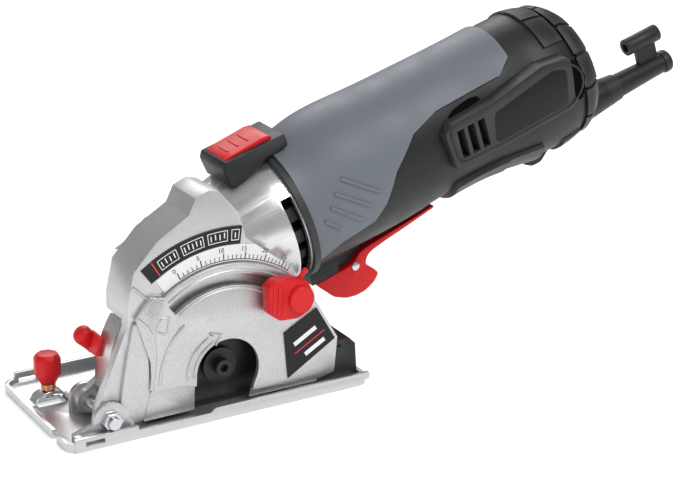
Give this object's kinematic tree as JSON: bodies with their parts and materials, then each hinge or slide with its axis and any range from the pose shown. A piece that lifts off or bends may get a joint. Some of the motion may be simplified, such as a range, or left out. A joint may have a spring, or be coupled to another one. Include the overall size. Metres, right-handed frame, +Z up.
{
  "type": "circular saw",
  "caption": "Compact plunge circular saw: a long in-line motor grip drives a small blade in a cast guard over a tray base, with a sliding depth stop and guide clamp.",
  "frame": {"origin": "centre of the base plate's underside", "axes": "+X towards the cable end, +Y away from the blade side, +Z up out of the work"},
  "size_m": [0.3943, 0.0974, 0.1955],
  "materials": {
    "cast_aluminium": "fine shot-blasted casting",
    "steel_zinc": "zinc plated",
    "spring_steel": "cold rolled strip",
    "black_steel": "black oxide",
    "red_plastic": "satin moulded",
    "black_plastic": "fine moulded texture",
    "grip_rubber": "soft satin overmould",
    "label_black": "printed film",
    "scale_silver": "printed film",
    "copper": "enamelled winding",
    "core_steel": "laminated",
    "belt_rubber": "ribbed",
    "brass_parts": "plain",
    "carbon": "pressed carbon"
  },
  "bodies": {
    "base": {"base_plate": "cast_aluminium", "axle_bolt": "steel_zinc", "axle_nut": "steel_zinc", "guide_bridge": "steel_zinc", "guide_spring": "copper", "dust_outlet": "black_plastic"},
    "clamp_knob": {"guide_knob": "red_plastic", "guide_screw": "steel_zinc"},
    "spindle": {"spindle": "steel_zinc", "inner_flange": "black_steel", "saw_blade": "black_steel", "outer_flange": "black_steel", "blade_bolt": "black_steel", "spindle_pulley": "core_steel"},
    "jackshaft": {"jackshaft": "steel_zinc", "bevel_gear": "core_steel", "drive_pulley": "core_steel"},
    "armature": {"armature_shaft": "steel_zinc", "bevel_pinion": "core_steel", "armature_core": "core_steel", "commutator": "brass_parts", "cooling_fan": "black_plastic"},
    "front_guard": {"front_guard": "spring_steel", "guard_lever": "red_plastic"},
    "depth_stop": {"depth_carriage": "red_plastic"},
    "depth_knob": {"depth_knob": "red_plastic"},
    "trigger": {"trigger_paddle": "red_plastic"},
    "slider": {"lock_slider": "red_plastic"},
    "lock_button": {"spindle_lock_button": "black_plastic"},
    "head": {"guard_housing": "cast_aluminium", "guard_cover": "cast_aluminium", "scale_plate": "scale_silver", "label_plate": "label_black", "rating_plate": "label_black", "bearing_plate": "cast_aluminium", "gear_housing": "cast_aluminium", "drive_belt": "belt_rubber", "spindle_bearings": "steel_zinc", "jackshaft_bearings": "steel_zinc", "armature_bearings": "steel_zinc", "soft_grip": "grip_rubber", "rear_bumper": "black_plastic", "motor_housing_left": "black_plastic", "motor_housing_right": "black_plastic", "side_pod_left": "black_plastic", "side_pod_right": "black_plastic", "collar_ring": "black_plastic", "switch_base": "black_plastic", "trigger_pin": "steel_zinc", "cable_gland": "black_plastic", "key_holder": "black_plastic", "field_core": "core_steel", "field_windings": "copper", "brush_holders": "brass_parts", "carbon_brushes": "carbon", "trigger_switch": "black_plastic", "cover_screws": "steel_zinc", "flange_screws": "steel_zinc", "housing_screws": "black_steel"}
  },
  "joints": [
    {"name": "plunge", "type": "hinge", "parent": "base", "child": "head", "pos_m": [-0.059, -0.02, 0.0103], "axis": [0, -1, 0], "range_deg": [0, 24]},
    {"name": "clamp_knob_turn", "type": "hinge", "parent": "base", "child": "clamp_knob", "pos_m": [-0.07, 0.014, 0.0132], "axis": [0, 0, 1], "range_deg": [-180, 180]},
    {"name": "spindle_turn", "type": "hinge", "parent": "head", "child": "spindle", "pos_m": [0.005, -0.026, 0.0225], "axis": [0, 1, 0], "continuous": true},
    {"name": "jackshaft_turn", "type": "hinge", "parent": "head", "child": "jackshaft", "pos_m": [-0.0085, -0.011, 0.0656], "axis": [0, 1, 0], "continuous": true},
    {"name": "armature_turn", "type": "hinge", "parent": "head", "child": "armature", "pos_m": [0.04885, 0.002, 0.08324], "axis": [0.9558, 0, 0.294], "continuous": true},
    {"name": "front_guard_lift", "type": "hinge", "parent": "head", "child": "front_guard", "pos_m": [0.005, -0.02, 0.0225], "axis": [0, 1, 0], "range_deg": [0, 25]},
    {"name": "depth_stop_slide", "type": "hinge", "parent": "head", "child": "depth_stop", "pos_m": [0.005, -0.038, 0.0225], "axis": [0, -1, 0], "range_deg": [0, 77]},
    {"name": "depth_knob_turn", "type": "hinge", "parent": "depth_stop", "child": "depth_knob", "pos_m": [0.03808, -0.045, 0.05797], "axis": [0, -1, 0], "range_deg": [-90, 90]},
    {"name": "trigger_press", "type": "hinge", "parent": "head", "child": "trigger", "pos_m": [0.09774, 0.002, 0.05015], "axis": [0, -1, 0], "range_deg": [0, 5], "stiffness_Nm_per_rad": 0.6, "springref_deg": -8.59},
    {"name": "slider_push", "type": "slide", "parent": "head", "child": "slider", "axis": [0.9558, 0, 0.294], "range_m": [0, 0.004]},
    {"name": "lock_button_press", "type": "slide", "parent": "head", "child": "lock_button", "axis": [0.294, 0, -0.9558], "range_m": [0, 0.003], "stiffness_N_per_m": 150, "springref_m": -0.002}
  ],
  "couplings": [
    {"joint": "spindle_turn", "follows": "armature_turn", "ratio": -0.33333},
    {"joint": "jackshaft_turn", "follows": "armature_turn", "ratio": -0.33333}
  ]
}
